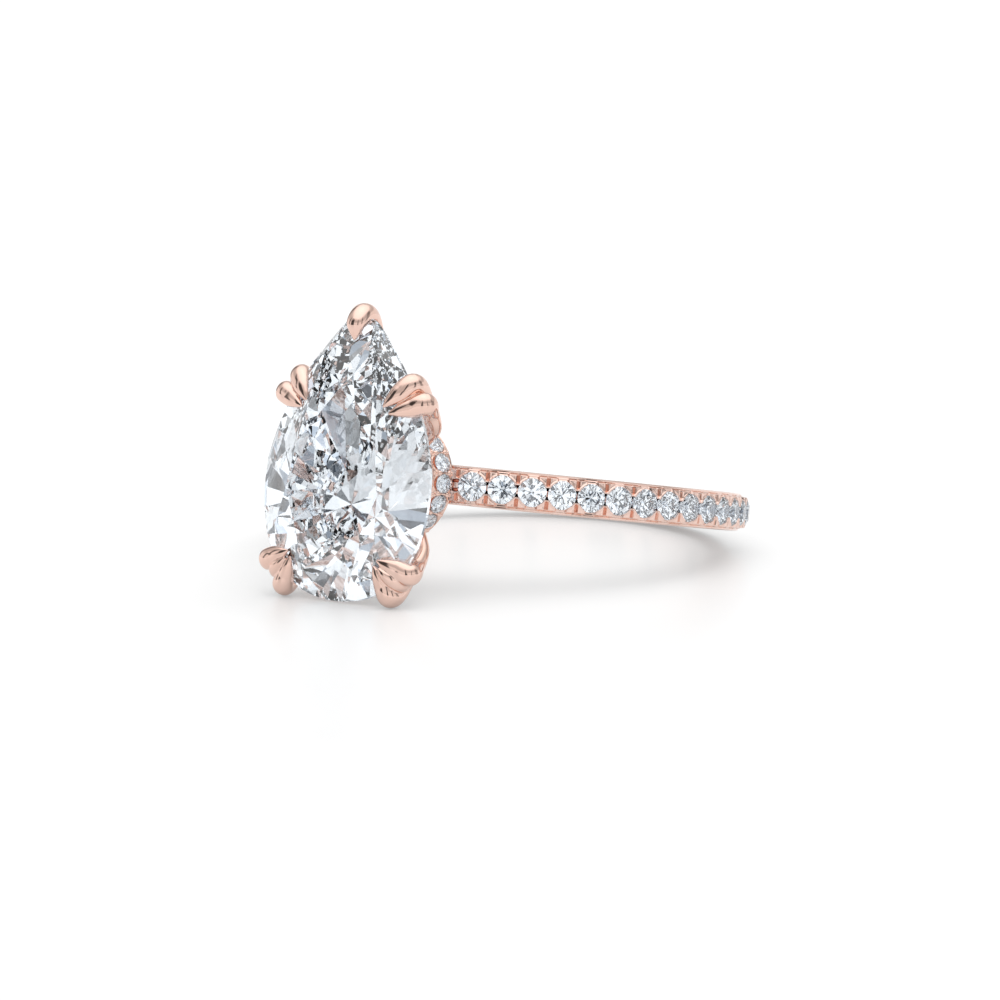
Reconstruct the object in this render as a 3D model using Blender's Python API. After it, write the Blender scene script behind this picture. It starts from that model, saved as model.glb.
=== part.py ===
"""Engagement ring: a pear-cut centre stone in a five-point claw head, a round
collar of small stones under it, and a band set with round stones down both
shoulders.  It lies the way such a ring lies when it is put down: on the two
lower claws and on the back of the band.

All driving dimensions are in millimetres and are turned into metres when a
mesh is made.  The ring is modelled in its own frame (band in the XY plane,
head towards -Y, finger hole along Z) and the frame is tipped to rest on z = 0.
"""
import math

import bmesh
import bpy
from mathutils import Matrix, Vector

MM = 0.001

# ---------------------------------------------------------------- band
BORE_R = 8.30            # finger hole radius, about a US 6 1/2
BORE_EASE = 0.14         # comfort rounding at the two mouths of the hole
RAIL_R = 9.72            # top of the two plain rails along the band's edges
BAND_W = 1.65            # band width along the finger
FLAT_R0 = 8.62           # the flat side faces run between these two radii
FLAT_R1 = 9.56
FISHTAIL_R = 10.06       # top of the split prongs between the stones
SCALLOP_R = 9.60         # bottom of the U cuts beside the stones
PITCH_DEG = 7.2          # one band stone every 7.2 degrees, 50 to a full turn
FIRST_DEG = 20.16        # first band stone, from the middle of the head
PER_SIDE = 15
MELEE_D = 1.20           # band stone diameter
MELEE_GIRDLE_R = 10.0    # their girdles ride on this radius
SEAT_EASE = 0.025        # clearance between a stone and its seat

# ---------------------------------------------------------------- head
GIRDLE_H = 13.50         # height of the pear's girdle above the ring's centre
PEAR_HALF_W = 4.03
PEAR_MID = -0.46         # where the pear is widest, along the finger axis
PEAR_TIP = 6.55
PEAR_BOTTOM = -5.20
PEAR_UP_LEN = 7.52       # shape of the shoulder curve
PEAR_UP_EXP = 1.86
PEAR_LOW_EXP = 2.20
CULET_Y = -1.20
CROWN_H = 1.10
GIRDLE_T = 0.16
PAV_DEPTH = 3.30
TABLE_K = 0.56           # table size as a share of the outline

COLLAR_R = 2.28          # centreline of the stone collar under the pear
COLLAR_T = 0.46          # its wall
COLLAR_H0 = 9.58
COLLAR_H1 = 10.85
COLLAR_STONES = 18
COLLAR_D = 0.80
COLLAR_STONE_H = 10.12
COLLAR_LEAN = 13.0       # the collar stones look up towards the pear, degrees
COLLAR_GIRDLE_R = 2.52

CLAW_ROOT_H = 10.88      # claws stand on the collar's top face
CLAW_ROOT_R = 2.30
CLAW_ROOT_DEG = 42.5

TILT_DEG = 10.88         # how far the ring leans when it lies down
CENTRE_Z = 2.6150        # height of the finger hole's centre above the floor
CENTRE_Y = 2.650          # puts the whole part square over the origin


# ---------------------------------------------------------------- scene
for ob in list(bpy.data.objects):
    bpy.data.objects.remove(ob, do_unlink=True)
for me in list(bpy.data.meshes):
    bpy.data.meshes.remove(me)


def link(ob):
    bpy.context.scene.collection.objects.link(ob)
    return ob


def material(name, colour, roughness, metallic, alpha=1.0, ior=1.45, transmission=0.0):
    mat = bpy.data.materials.new(name)
    mat.use_nodes = True
    node = mat.node_tree.nodes["Principled BSDF"]
    node.inputs["Base Color"].default_value = (*colour, 1.0)
    node.inputs["Roughness"].default_value = roughness
    node.inputs["Metallic"].default_value = metallic
    node.inputs["IOR"].default_value = ior
    node.inputs["Transmission Weight"].default_value = transmission
    node.inputs["Alpha"].default_value = alpha
    mat.diffuse_color = (*colour, alpha)
    return mat


GOLD = (0.86, 0.55, 0.44)
mat_band = material("rose_gold_band", GOLD, 0.16, 1.0)
mat_claw = material("rose_gold_claws", GOLD, 0.12, 1.0)
mat_collar = material("rose_gold_collar", GOLD, 0.16, 1.0)
mat_pear = material("diamond_pear", (0.93, 0.95, 0.97), 0.0, 0.0, ior=2.42, transmission=1.0)
mat_melee = material("diamond_band_stones", (0.90, 0.92, 0.95), 0.0, 0.0, ior=2.42, transmission=1.0)
mat_halo = material("diamond_collar_stones", (0.90, 0.92, 0.95), 0.0, 0.0, ior=2.42, transmission=1.0)


def mesh_from(bm, name, smooth_deg=None):
    """Scale a millimetre bmesh to metres and store it."""
    bmesh.ops.recalc_face_normals(bm, faces=bm.faces)
    bmesh.ops.scale(bm, vec=(MM, MM, MM), verts=bm.verts)
    me = bpy.data.meshes.new(name)
    bm.to_mesh(me)
    bm.free()
    if smooth_deg is not None:
        me.shade_smooth()
        me.set_sharp_from_angle(angle=math.radians(smooth_deg))
    return me


def solid(name, me, mat, parent=None):
    ob = link(bpy.data.objects.new(name, me))
    if not me.materials:
        me.materials.append(mat)
    ob.parent = parent
    return ob


def cutter(name, me, parent=None):
    ob = link(bpy.data.objects.new(name, me))
    ob.parent = parent
    ob.hide_render = True
    ob.display_type = "WIRE"
    return ob


def boolean(ob, operation, other):
    mod = ob.modifiers.new(operation.lower() + "_" + other.name, "BOOLEAN")
    mod.operation = operation
    mod.solver = "EXACT"
    mod.object = other
    return mod


ring_frame = link(bpy.data.objects.new("ring_frame", None))
ring_frame.location = (0.0, CENTRE_Y * MM, CENTRE_Z * MM)
ring_frame.rotation_euler = (-math.radians(TILT_DEG), 0.0, 0.0)
ring_frame.empty_display_size = 0.004

head_frame = link(bpy.data.objects.new("head_frame", None))
head_frame.parent = ring_frame
head_frame.rotation_euler = (math.radians(90.0), 0.0, 0.0)
head_frame.empty_display_size = 0.003


# ---------------------------------------------------------------- helpers
def loft(sections, close_path=False):
    """Skin closed sections with quads; open paths get flat end caps."""
    bm = bmesh.new()
    rings = [[bm.verts.new(p) for p in sec] for sec in sections]
    count = len(rings)
    for i in range(count if close_path else count - 1):
        a, b = rings[i], rings[(i + 1) % count]
        for j in range(len(a)):
            k = (j + 1) % len(a)
            bm.faces.new((a[j], a[k], b[k], b[j]))
    if not close_path:
        bm.faces.new(list(reversed(rings[0])))
        bm.faces.new(rings[-1])
    return bm


def pear_half_width(y):
    if y >= PEAR_MID:
        t = (y - PEAR_MID) / PEAR_UP_LEN
        return PEAR_HALF_W * (1.0 - t ** PEAR_UP_EXP)
    t = min(1.0, (PEAR_MID - y) / (PEAR_MID - PEAR_BOTTOM))
    return PEAR_HALF_W * (1.0 - t ** PEAR_LOW_EXP) ** (1.0 / PEAR_LOW_EXP)


def pear_outline(count):
    """Girdle outline, anticlockwise from the +X side, about evenly spaced."""
    right = []
    steps = 600
    for i in range(steps + 1):
        a = math.pi * i / steps
        if a <= math.pi / 2:            # from the bottom up to the widest line
            s = math.sin(a)
            c = math.cos(a)
            y = PEAR_MID - (PEAR_MID - PEAR_BOTTOM) * c ** (2.0 / PEAR_LOW_EXP)
            x = PEAR_HALF_W * s ** (2.0 / PEAR_LOW_EXP)
        else:                           # on to the rounded point
            u = (a - math.pi / 2) / (math.pi / 2)
            y = PEAR_MID + (PEAR_TIP - 0.55 - PEAR_MID) * u
            x = pear_half_width(y)
        right.append(Vector((x, y)))
    x0, y0 = right[-1]
    slope = -PEAR_HALF_W * PEAR_UP_EXP / PEAR_UP_LEN * ((y0 - PEAR_MID) / PEAR_UP_LEN) ** (PEAR_UP_EXP - 1)
    for i in range(1, 41):              # quadratic nose from the shoulder to the tip
        u = i / 40.0
        ctrl_y = PEAR_TIP
        ctrl_x = max(0.05, x0 + slope * (PEAR_TIP - y0))
        right.append(Vector(((1 - u) ** 2 * x0 + 2 * u * (1 - u) * ctrl_x,
                             (1 - u) ** 2 * y0 + 2 * u * (1 - u) * ctrl_y + u * u * PEAR_TIP)))
    loop = right + [Vector((-p.x, p.y)) for p in reversed(right[1:-1])]
    length = [0.0]
    for i in range(len(loop)):
        length.append(length[-1] + (loop[(i + 1) % len(loop)] - loop[i]).length)
    out = []
    j = 0
    for k in range(count):
        target = length[-1] * k / count
        while length[j + 1] < target:
            j += 1
        f = (target - length[j]) / max(1e-12, length[j + 1] - length[j])
        out.append(loop[j].lerp(loop[(j + 1) % len(loop)], f))
    return out


def cut_gem(outline, top, bottom, planes):
    """Cut a stone the way a lapidary does: a blank, then one flat at a time."""
    bm = bmesh.new()
    low = [bm.verts.new((p.x, p.y, bottom)) for p in outline]
    face = bm.faces.new(low)
    out = bmesh.ops.extrude_face_region(bm, geom=[face])
    up = [v for v in out["geom"] if isinstance(v, bmesh.types.BMVert)]
    bmesh.ops.translate(bm, vec=(0, 0, top - bottom), verts=up)
    bmesh.ops.recalc_face_normals(bm, faces=bm.faces)
    for co, no in planes:
        geom = bm.verts[:] + bm.edges[:] + bm.faces[:]
        bmesh.ops.bisect_plane(bm, geom=geom, dist=1e-5, plane_co=co, plane_no=no,
                               clear_outer=True)
        rim = [e for e in bm.edges if e.is_boundary]
        if rim:
            bmesh.ops.holes_fill(bm, edges=rim, sides=0)
    bmesh.ops.remove_doubles(bm, verts=bm.verts, dist=2e-3)
    bmesh.ops.dissolve_degenerate(bm, edges=bm.edges, dist=1e-4)
    return bm


def plane_through(point, tangent, inner, up):
    """Plane holding a girdle point, the girdle's direction there and an inner
    point; its normal is turned outwards (up or down)."""
    n = tangent.cross(inner - point).normalized()
    if n.z * up < 0:
        n = -n
    return point, n


def brilliant_planes(girdle_at, centre, crown_top, culet, table_k, girdle_t, mains=8,
                     lower_half=0.76, star=0.52, halves=True, start=0.25):
    """Facet planes of a brilliant whose girdle follows girdle_at(t), t in 0..1."""
    half = girdle_t / 2.0

    def gp(t, z):
        p = girdle_at(t % 1.0)
        return Vector((p.x, p.y, z))

    def tangent(t):
        d = girdle_at((t + 0.004) % 1.0) - girdle_at((t - 0.004) % 1.0)
        return Vector((d.x, d.y, 0.0)).normalized()

    ts = [start + k / mains for k in range(mains)]
    planes = [(Vector((0, 0, crown_top)), Vector((0, 0, 1)))]
    top_c = Vector((centre.x, centre.y, crown_top))
    bezel, pav = [], []
    for t in ts:
        g = gp(t, half)
        table_pt = Vector((centre.x + (g.x - centre.x) * table_k,
                           centre.y + (g.y - centre.y) * table_k, crown_top))
        bezel.append(plane_through(g, tangent(t), table_pt, 1))
        pav.append(plane_through(gp(t, -half), tangent(t), culet, -1))
    planes += bezel + pav
    if halves:
        for k, t in enumerate(ts):
            mid_t = t + 0.5 / mains
            # the ridge between two neighbouring bezels, and between two mains
            for facets, z_edge, target, share, up in (
                    (bezel, half, crown_top, star, 1), (pav, -half, culet.z, lower_half, -1)):
                (c1, n1), (c2, n2) = facets[k], facets[(k + 1) % mains]
                direction = n1.cross(n2)
                if abs(direction.z) < 1e-9:
                    continue
                m = Matrix((n1, n2, Vector((0, 0, 1))))
                z = z_edge + (target - z_edge) * share
                ridge = m.inverted() @ Vector((n1.dot(c1), n2.dot(c2), z))
                if up > 0:
                    star_pt = ridge
                for q in (t + 0.25 / mains, t + 0.75 / mains):
                    planes.append(plane_through(gp(q, z_edge), tangent(q), ridge, up))
            # star facet between the two table corners
            def corner(tt):
                g = gp(tt, half)
                return Vector((centre.x + (g.x - centre.x) * table_k,
                               centre.y + (g.y - centre.y) * table_k, crown_top))
            a, b = corner(t), corner(t + 1.0 / mains)
            n = (b - a).cross(star_pt - a).normalized()
            if n.z < 0:
                n = -n
            planes.append((a, n))
    return planes


# ---------------------------------------------------------------- the stones
pear_points = pear_outline(720)


def pear_at(t):
    i = (t % 1.0) * len(pear_points)
    a = int(math.floor(i)) % len(pear_points)
    return pear_points[a].lerp(pear_points[(a + 1) % len(pear_points)], i - math.floor(i))


def pear_girdle(t):
    """Girdle point seen from the culet at an even share of the full turn,
    t = 0.25 at the tip."""
    ang = 2.0 * math.pi * t
    best, best_err = pear_points[0], 10.0
    lo, hi = 0.0, 12.0
    d = Vector((math.cos(ang), math.sin(ang)))
    c = Vector((0.0, CULET_Y))
    for p, q in zip(pear_points, pear_points[1:] + pear_points[:1]):
        v1, v2 = p - c, q - c
        k1 = d.x * v1.y - d.y * v1.x
        k2 = d.x * v2.y - d.y * v2.x
        if k1 <= 0.0 < k2 and (v1 + v2).dot(d) > 0:
            f = -k1 / (k2 - k1)
            return p.lerp(q, f)
    return best


def pear_mesh(name, count=48, grow=0.0):
    outline = pear_outline(count)
    planes = brilliant_planes(pear_girdle, Vector((0.0, -0.25)), GIRDLE_T / 2 + CROWN_H,
                              Vector((0.0, CULET_Y, -GIRDLE_T / 2 - PAV_DEPTH)),
                              TABLE_K, GIRDLE_T)
    if grow:
        planes = [(co + no * grow, no) for co, no in planes]
        outline = [p + Vector((p.x, p.y)).normalized() * grow for p in outline]
    bm = cut_gem(outline, GIRDLE_T / 2 + CROWN_H + 0.3, -GIRDLE_T / 2 - PAV_DEPTH - 0.3, planes)
    return mesh_from(bm, name)


def round_gem_mesh(name, diameter, sides, mains):
    """Small round stone with a single-cut crown and pavilion."""
    r = diameter / 2.0

    def at(t):
        return Vector((r * math.cos(2 * math.pi * t), r * math.sin(2 * math.pi * t)))

    crown = r * 0.30
    pav = r * 0.86
    outline = [at((i + 0.5) / sides) for i in range(sides)]
    flat = math.cos(math.pi / sides)
    planes = [(Vector((0, 0, crown)), Vector((0, 0, 1)))]
    for k in range(mains):
        t = k / mains
        g = at(t) * flat
        c = math.cos(2 * math.pi * t)
        s = math.sin(2 * math.pi * t)
        tan = Vector((-s, c, 0))
        planes.append(plane_through(Vector((g.x, g.y, 0.02 * r)), tan,
                                    Vector((g.x * 0.56, g.y * 0.56, crown)), 1))
        planes.append(plane_through(Vector((g.x, g.y, -0.02 * r)), tan,
                                    Vector((0, 0, -pav)), -1))
    bm = cut_gem(outline, crown + 0.1, -pav - 0.1, planes)
    return mesh_from(bm, name)


centre_stone = solid("centre_stone", pear_mesh("centre_stone"), mat_pear, head_frame)
centre_stone.location = (0.0, 0.0, GIRDLE_H * MM)

# a slightly larger copy of the pear, used to cut the notches in the claws
pear_seat = cutter("cut_pear_seat", pear_mesh("cut_pear_seat", grow=0.03), head_frame)
pear_seat.location = centre_stone.location

melee_me = round_gem_mesh("band_stone", MELEE_D, 12, 12)
halo_me = round_gem_mesh("collar_stone", COLLAR_D, 10, 10)


# ---------------------------------------------------------------- the band
def band_section(phi_deg, state):
    """One cross-section of the band: state is 'plain', 'prong' or 'scallop'."""
    hw = BAND_W / 2.0
    if state == "plain":
        shoulder, top, dip = RAIL_R - 0.02, RAIL_R + 0.02, RAIL_R + 0.04
    elif state == "prong":
        shoulder, top, dip = RAIL_R + 0.02, FISHTAIL_R, RAIL_R - 0.05
    else:
        shoulder, top, dip = RAIL_R - 0.02, SCALLOP_R, SCALLOP_R - 0.02
    half = [(BORE_R, 0.0), (BORE_R, hw * 0.52), (BORE_R + BORE_EASE, hw * 0.93),
            (FLAT_R0, hw), (FLAT_R1, hw), (RAIL_R, hw * 0.93), (shoulder, hw * 0.84),
            (top, hw * 0.76), (top, hw * 0.34), (dip, hw * 0.26)]
    prof = half[1:] + [(r, -z) for r, z in reversed(half[1:])]
    a = math.radians(phi_deg)
    return [Vector((r * math.sin(a), -r * math.cos(a), z)) for r, z in prof]


def band_stations():
    """(angle from the head, state) all the way round."""
    side = []
    first = FIRST_DEG - PITCH_DEG / 2
    side += [(0.0, "plain"), (6.0, "plain"), (11.8, "plain"), (first - 1.9, "plain"),
             (first - 1.1, "prong")]
    for k in range(PER_SIDE):
        c = FIRST_DEG + k * PITCH_DEG
        side += [(c - 2.5, "prong"), (c - 1.7, "scallop"), (c + 1.7, "scallop"), (c + 2.5, "prong")]
    last = FIRST_DEG + (PER_SIDE - 0.5) * PITCH_DEG
    side += [(last + 1.1, "prong"), (last + 1.9, "plain")]
    a = last + 1.9
    steps = int(math.ceil((180.0 - a) / 6.0))
    side += [(a + (180.0 - a) * i / steps, "plain") for i in range(1, steps)]
    left = [(-p, s) for p, s in reversed(side[1:])]
    return left + side + [(180.0, "plain")]


bm = loft([band_section(p, s) for p, s in band_stations()], close_path=True)
shank = solid("shank", mesh_from(bm, "shank", 40), mat_band, ring_frame)

# the seats: one drilled and burred hollow for each band stone
bm = bmesh.new()
for side in (1, -1):
    for k in range(PER_SIDE):
        phi = side * (FIRST_DEG + k * PITCH_DEG)
        r = MELEE_D / 2 + SEAT_EASE
        here = (Matrix.Rotation(math.radians(phi), 4, "Z")
                @ Matrix.Translation((0, -MELEE_GIRDLE_R, 0)) @ Matrix.Rotation(math.radians(90), 4, "X"))
        sides = 8
        depth = r * 0.90 + 0.03
        lower = bmesh.ops.create_cone(bm, cap_ends=True, segments=sides, radius1=0.05, radius2=r,
                                      depth=depth, matrix=here @ Matrix.Translation((0, 0, -depth / 2 - 0.03)))
        rim = [v for v in lower["verts"] if abs((here.inverted() @ v.co).z + 0.03) < 1e-5]
        top = [f for f in {f for v in rim for f in v.link_faces} if all(v in rim for v in f.verts)]
        out = bmesh.ops.extrude_face_region(bm, geom=top)
        up = [v for v in out["geom"] if isinstance(v, bmesh.types.BMVert)]
        bmesh.ops.translate(bm, vec=here.to_3x3() @ Vector((0, 0, 0.5)), verts=up)
        bmesh.ops.delete(bm, geom=top, context="FACES_ONLY")
seats = cutter("cut_band_seats", mesh_from(bm, "cut_band_seats"), ring_frame)
boolean(shank, "DIFFERENCE", seats)

for side, tag in ((1, "right"), (-1, "left")):
    for k in range(PER_SIDE):
        phi = math.radians(side * (FIRST_DEG + k * PITCH_DEG))
        ob = solid("band_stone_%s_%02d" % (tag, k + 1), melee_me, mat_melee, ring_frame)
        ob.location = (MELEE_GIRDLE_R * MM * math.sin(phi), -MELEE_GIRDLE_R * MM * math.cos(phi), 0.0)
        ob.rotation_euler = (math.radians(90.0), 0.0, phi)


# ---------------------------------------------------------------- the collar
def ring_section(angle, profile):
    c, s = math.cos(angle), math.sin(angle)
    return [Vector((r * c, r * s, z)) for r, z in profile]


r0, r1 = COLLAR_R - COLLAR_T / 2, COLLAR_R + COLLAR_T / 2
collar_profile = [(r0, COLLAR_H0 + 0.06), (r0 + 0.06, COLLAR_H0), (r1 - 0.06, COLLAR_H0),
                  (r1 + 0.04, COLLAR_H0 + 0.06), (r1 - 0.02, COLLAR_H1 - 0.06), (r1 - 0.08, COLLAR_H1),
                  (r0 + 0.06, COLLAR_H1), (r0, COLLAR_H1 - 0.06)]
bm = loft([ring_section(2 * math.pi * i / 36, collar_profile) for i in range(36)], close_path=True)
collar = solid("halo_collar", mesh_from(bm, "halo_collar", 40), mat_collar, head_frame)

bm = bmesh.new()
for k in range(COLLAR_STONES):
    a = 2 * math.pi * k / COLLAR_STONES
    r = COLLAR_D / 2 + SEAT_EASE
    here = (Matrix.Rotation(a, 4, "Z") @ Matrix.Translation((COLLAR_GIRDLE_R, 0, COLLAR_STONE_H))
            @ Matrix.Rotation(math.radians(90.0 - COLLAR_LEAN), 4, "Y"))
    depth = r * 0.90 + 0.02
    bmesh.ops.create_cone(bm, cap_ends=True, segments=8, radius1=0.04, radius2=r, depth=depth,
                          matrix=here @ Matrix.Translation((0, 0, -depth / 2)))
collar_seats = cutter("cut_collar_seats", mesh_from(bm, "cut_collar_seats"), head_frame)
boolean(collar, "DIFFERENCE", collar_seats)

# the collar's foot is filed to sit on the band
bm = bmesh.new()
bmesh.ops.create_cone(bm, cap_ends=True, segments=180, radius1=RAIL_R + 0.065, radius2=RAIL_R + 0.065,
                      depth=BAND_W + 0.06)
saddle = cutter("cut_saddle", mesh_from(bm, "cut_saddle"), ring_frame)
boolean(collar, "DIFFERENCE", saddle)

for k in range(COLLAR_STONES):
    a = 2 * math.pi * k / COLLAR_STONES
    ob = solid("collar_stone_%02d" % (k + 1), halo_me, mat_halo, head_frame)
    ob.location = (COLLAR_GIRDLE_R * MM * math.cos(a), COLLAR_GIRDLE_R * MM * math.sin(a),
                   COLLAR_STONE_H * MM)
    ob.rotation_euler = (math.radians(90.0 - COLLAR_LEAN), 0.0, a + math.radians(90.0))


# ---------------------------------------------------------------- the claws
def smooth_path(knots, count):
    """Catmull-Rom curve through knots of (x, y, h, half width, half thickness)."""
    pts = [Vector(k) for k in knots]
    pts = [pts[0] * 2 - pts[1]] + pts + [pts[-1] * 2 - pts[-2]]
    spans = len(pts) - 3
    out = []
    for i in range(count + 1):
        u = i / count * spans
        k = min(int(u), spans - 1)
        f = u - k
        p0, p1, p2, p3 = pts[k:k + 4]
        out.append([0.5 * ((2 * b) + (c - a) * f + (2 * a - 5 * b + 4 * c - d) * f * f
                           + (-a + 3 * b - 3 * c + d) * f ** 3)
                    for a, b, c, d in zip(p0, p1, p2, p3)])
    return out


def claw_tube(knots, count=12, sides=8):
    path = smooth_path(knots, count)
    pos = [Vector(p[:3]) for p in path]
    lateral = None
    sections = []
    for i, p in enumerate(path):
        tan = (pos[min(i + 1, count)] - pos[max(i - 1, 0)]).normalized()
        if i == count:
            tan = Vector((0, 0, -1))
        if lateral is None:
            out_dir = pos[3] - pos[0]
            lateral = Vector((-out_dir.y, out_dir.x, 0)).normalized()
        lateral = (lateral - tan * lateral.dot(tan)).normalized()
        normal = tan.cross(lateral)
        w, t = max(p[3], 0.05), max(p[4], 0.05)
        sections.append([pos[i] + lateral * (w * math.cos(2 * math.pi * j / sides))
                         + normal * (t * math.sin(2 * math.pi * j / sides)) for j in range(sides)])
    return loft(sections)


def crown_height(x, y):
    """Height of the pear's bezels above the ring centre at a point in plan."""
    best = 1.0
    for i in range(1, 60):
        k = 1.0 - i / 60.0
        if k <= TABLE_K:
            return GIRDLE_H + GIRDLE_T / 2 + CROWN_H
        px, py = x / k, (y + 0.25) / k - 0.25
        inside = PEAR_BOTTOM < py < PEAR_TIP and abs(px) < pear_half_width(py)
        if not inside:
            best = k
            break
    return GIRDLE_H + GIRDLE_T / 2 + CROWN_H * (1.0 - best) / (1.0 - TABLE_K)


def lobe_knots(tip, bulge, stem, root, side, root_h):
    """One lobe: a pointed tip on the crown, a round back over the girdle and a
    stem that runs down and in beside its twin to the collar."""
    tip, bulge, stem, root = Vector(tip), Vector(bulge), Vector(stem), Vector(root)
    across = Vector((-(stem.y), stem.x)).normalized() * side

    def over(f, lift):
        p = tip.lerp(bulge, f)
        return p.x, p.y, max(crown_height(p.x, p.y), GIRDLE_H + 0.12) + lift

    low = bulge + (stem - bulge).normalized() * 0.36
    up_stem = stem + across * 0.17
    down_stem = stem.lerp(root, 0.60) + across * 0.11
    foot = root + across * 0.07
    return [
        over(0.0, 0.04) + (0.05, 0.05),
        over(0.28, 0.15) + (0.25, 0.17),
        over(0.62, 0.20) + (0.42, 0.31),
        (bulge.x, bulge.y, GIRDLE_H + 0.06, 0.47, 0.42),
        (low.x, low.y, GIRDLE_H - 0.60, 0.40, 0.37),
        (up_stem.x, up_stem.y, GIRDLE_H - 1.30, 0.29, 0.28),
        (down_stem.x, down_stem.y, GIRDLE_H - 2.15, 0.25, 0.25),
        (foot.x, foot.y, root_h, 0.225, 0.215),
    ]


def make_claw(name, lobes):
    """Join the lobes of one claw, notch it for the stone, and keep the result."""
    ob = solid(name, mesh_from(claw_tube(lobes[0]), name, 50), mat_claw, head_frame)
    helpers = []
    for knots in lobes[1:]:
        other = cutter("join_" + name, mesh_from(claw_tube(knots), "join_" + name), head_frame)
        boolean(ob, "UNION", other)
        helpers.append(other)
    boolean(ob, "DIFFERENCE", pear_seat)
    bpy.context.view_layer.update()
    depsgraph = bpy.context.evaluated_depsgraph_get()
    done = bpy.data.meshes.new_from_object(ob.evaluated_get(depsgraph))
    ob.modifiers.clear()
    ob.data = done
    for other in helpers:
        bpy.data.objects.remove(other, do_unlink=True)
    return ob


def mirrored(name, source):
    """The left-hand claw: the same casting, mirrored across the head."""
    bm = bmesh.new()
    bm.from_mesh(source.data)
    bmesh.ops.scale(bm, vec=(-1, 1, 1), verts=bm.verts)
    bmesh.ops.reverse_faces(bm, faces=bm.faces)
    me = bpy.data.meshes.new(name)
    bm.to_mesh(me)
    bm.free()
    me.shade_smooth()
    me.set_sharp_from_angle(angle=math.radians(50))
    return solid(name, me, mat_claw, head_frame)


def polar(deg, r):
    return (r * math.cos(math.radians(deg)), r * math.sin(math.radians(deg)))


UPPER = ((1.86, 2.88), (2.78, 3.92)), ((2.12, 2.62), (3.45, 3.16))
LOWER = ((2.18, -3.35), (3.48, -3.80)), ((2.04, -3.59), (2.64, -4.88))
UPPER_STEM = (3.02, 2.35)
LOWER_STEM = (3.00, -2.90)
for row, pair, stem, deg in (("upper", UPPER, UPPER_STEM, CLAW_ROOT_DEG),
                             ("lower", LOWER, LOWER_STEM, -CLAW_ROOT_DEG)):
    lobes = []
    for n, (tip, bulge) in enumerate(pair):
        side = 1.0 if n == 0 else -1.0
        lobes.append(lobe_knots(tip, bulge, stem, polar(deg, CLAW_ROOT_R), side,
                                CLAW_ROOT_H + 0.04 * n))
    right = make_claw("claw_%s_right" % row, lobes)
    mirrored("claw_%s_left" % row, right)

tip_knots = [
    (0.0, 5.50, crown_height(0, 5.50) + 0.04, 0.05, 0.05),
    (0.0, 5.82, crown_height(0, 5.82) + 0.17, 0.28, 0.19),
    (0.0, 6.22, GIRDLE_H + 0.50, 0.45, 0.34),
    (0.0, 6.60, GIRDLE_H + 0.02, 0.50, 0.47),
    (0.0, 6.36, GIRDLE_H - 0.62, 0.42, 0.40),
    (0.0, 5.30, GIRDLE_H - 1.35, 0.30, 0.30),
    (0.0, 3.75, GIRDLE_H - 2.15, 0.26, 0.26),
    (0.0, CLAW_ROOT_R, CLAW_ROOT_H, 0.25, 0.215),
]
make_claw("claw_tip", [tip_knots])
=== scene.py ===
"""Looks for the engagement ring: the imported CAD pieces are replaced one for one
by finely modelled ones (full-cut stones, fishtail band, rounded claws, beaded
collar), on a white floor in a white studio."""
import math

import bmesh
import bpy
import numpy as np
from mathutils import Matrix, Vector


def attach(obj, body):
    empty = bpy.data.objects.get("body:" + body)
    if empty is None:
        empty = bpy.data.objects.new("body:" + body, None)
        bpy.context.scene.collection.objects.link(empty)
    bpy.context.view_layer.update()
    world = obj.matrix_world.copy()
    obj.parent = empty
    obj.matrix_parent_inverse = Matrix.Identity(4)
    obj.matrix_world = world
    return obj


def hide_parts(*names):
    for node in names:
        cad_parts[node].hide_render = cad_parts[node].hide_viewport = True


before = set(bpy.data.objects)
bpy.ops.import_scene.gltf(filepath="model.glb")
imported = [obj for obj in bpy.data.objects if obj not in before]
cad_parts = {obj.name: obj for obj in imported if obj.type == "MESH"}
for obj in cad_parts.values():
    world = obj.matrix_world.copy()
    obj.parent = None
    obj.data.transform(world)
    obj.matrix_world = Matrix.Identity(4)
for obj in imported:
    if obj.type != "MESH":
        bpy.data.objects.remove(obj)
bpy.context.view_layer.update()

MM = 0.001

# ------------------------------------------------------------ CAD dimensions
BORE_R = 8.30
BORE_EASE = 0.14
RAIL_R = 9.72
BAND_W = 1.65
PITCH_DEG = 7.2
FIRST_DEG = 20.16
PER_SIDE = 15
MELEE_D = 1.20
MELEE_GIRDLE_R = 10.0

GIRDLE_H = 13.50
PEAR_HALF_W = 4.03
PEAR_MID = -0.46
PEAR_TIP = 6.55
PEAR_BOTTOM = -5.20
PEAR_UP_LEN = 7.52
PEAR_UP_EXP = 1.86
PEAR_LOW_EXP = 2.20
CULET_Y = -1.20
CROWN_H = 1.10
GIRDLE_T = 0.16
PAV_DEPTH = 3.30
TABLE_K = 0.56

COLLAR_R = 2.28
COLLAR_T = 0.46
COLLAR_H0 = 9.58
COLLAR_H1 = 10.85
COLLAR_STONES = 18
COLLAR_D = 0.80
COLLAR_STONE_H = 10.12
COLLAR_LEAN = 13.0
COLLAR_GIRDLE_R = 2.52

CLAW_ROOT_H = 10.88
CLAW_ROOT_R = 2.30
CLAW_ROOT_DEG = 42.5

TILT_DEG = 10.88
CENTRE_Y = 2.650
CENTRE_Z = 2.6150

RING = (Matrix.Translation((0.0, CENTRE_Y * MM, CENTRE_Z * MM))
        @ Matrix.Rotation(-math.radians(TILT_DEG), 4, "X"))
HEAD = RING @ Matrix.Rotation(math.radians(90.0), 4, "X")


# ------------------------------------------------------------ materials
def new_material(name):
    mat = bpy.data.materials.new(name)
    mat.use_nodes = True
    nt = mat.node_tree
    bsdf = nt.nodes["Principled BSDF"]
    return mat, nt, bsdf


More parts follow.
